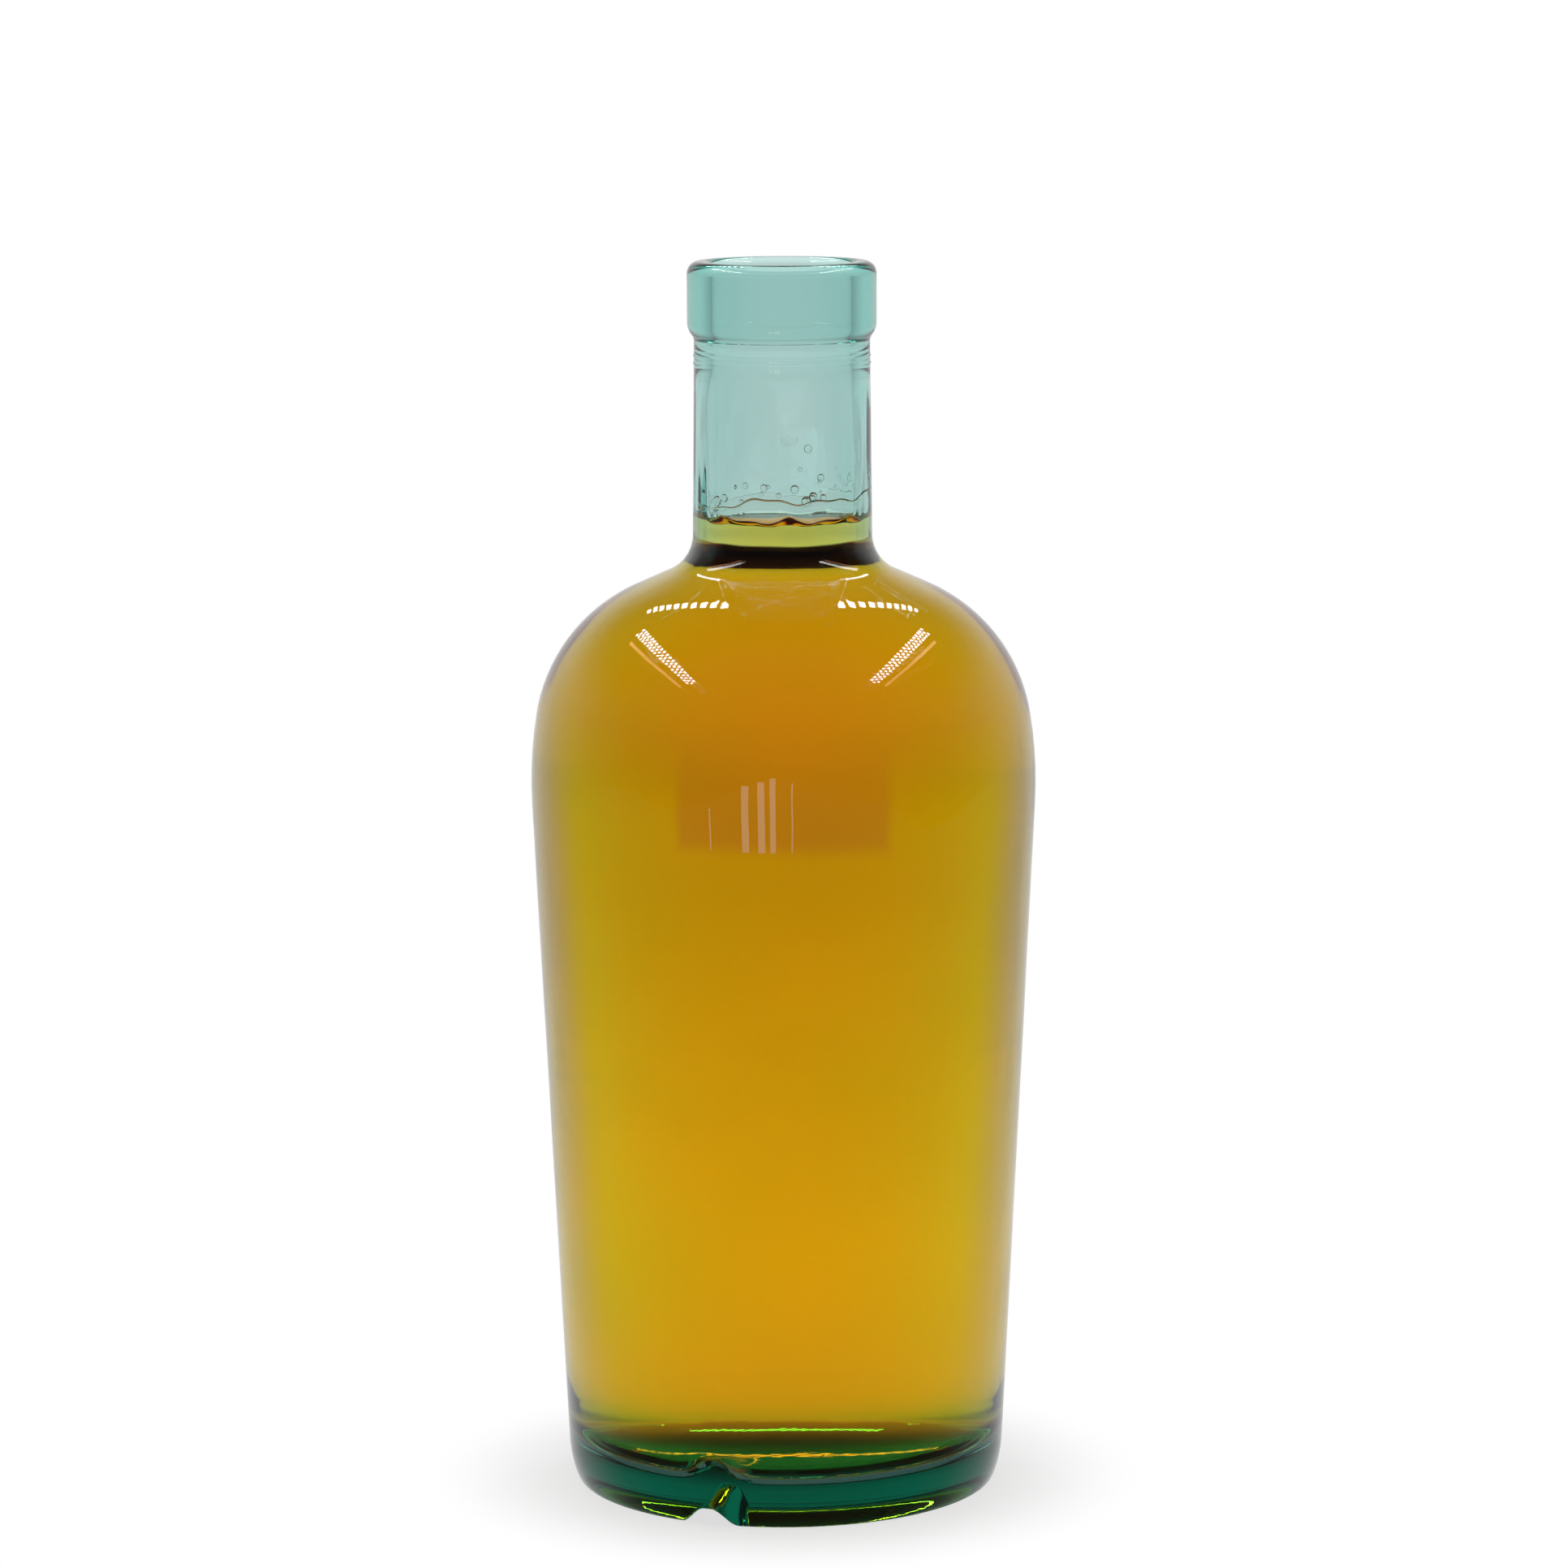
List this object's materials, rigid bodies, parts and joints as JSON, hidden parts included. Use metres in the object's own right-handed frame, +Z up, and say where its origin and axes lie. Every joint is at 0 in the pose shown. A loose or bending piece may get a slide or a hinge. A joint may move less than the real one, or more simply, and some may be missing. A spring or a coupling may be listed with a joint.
{
  "type": "glass spirit bottle",
  "caption": "Round glass spirit bottle with a tapered body, soft shoulder, straight neck and plain mouth ring, standing open and filled into the neck with an amber liquid.",
  "frame": {"origin": "on the bottle's axis, in the plane that the foot ring stands on", "axes": "+Z up along the bottle's axis; -Y is the front, with the index notch of the foot ring a little to the left of it (towards -X)"},
  "size_m": [0.088, 0.088, 0.215],
  "materials": {
    "pale_green_glass": "gloss",
    "amber_liquid": "gloss"
  },
  "bodies": {
    "root": {"glass_bottle": "pale_green_glass", "amber_spirit": "amber_liquid"}
  },
  "joints": []
}
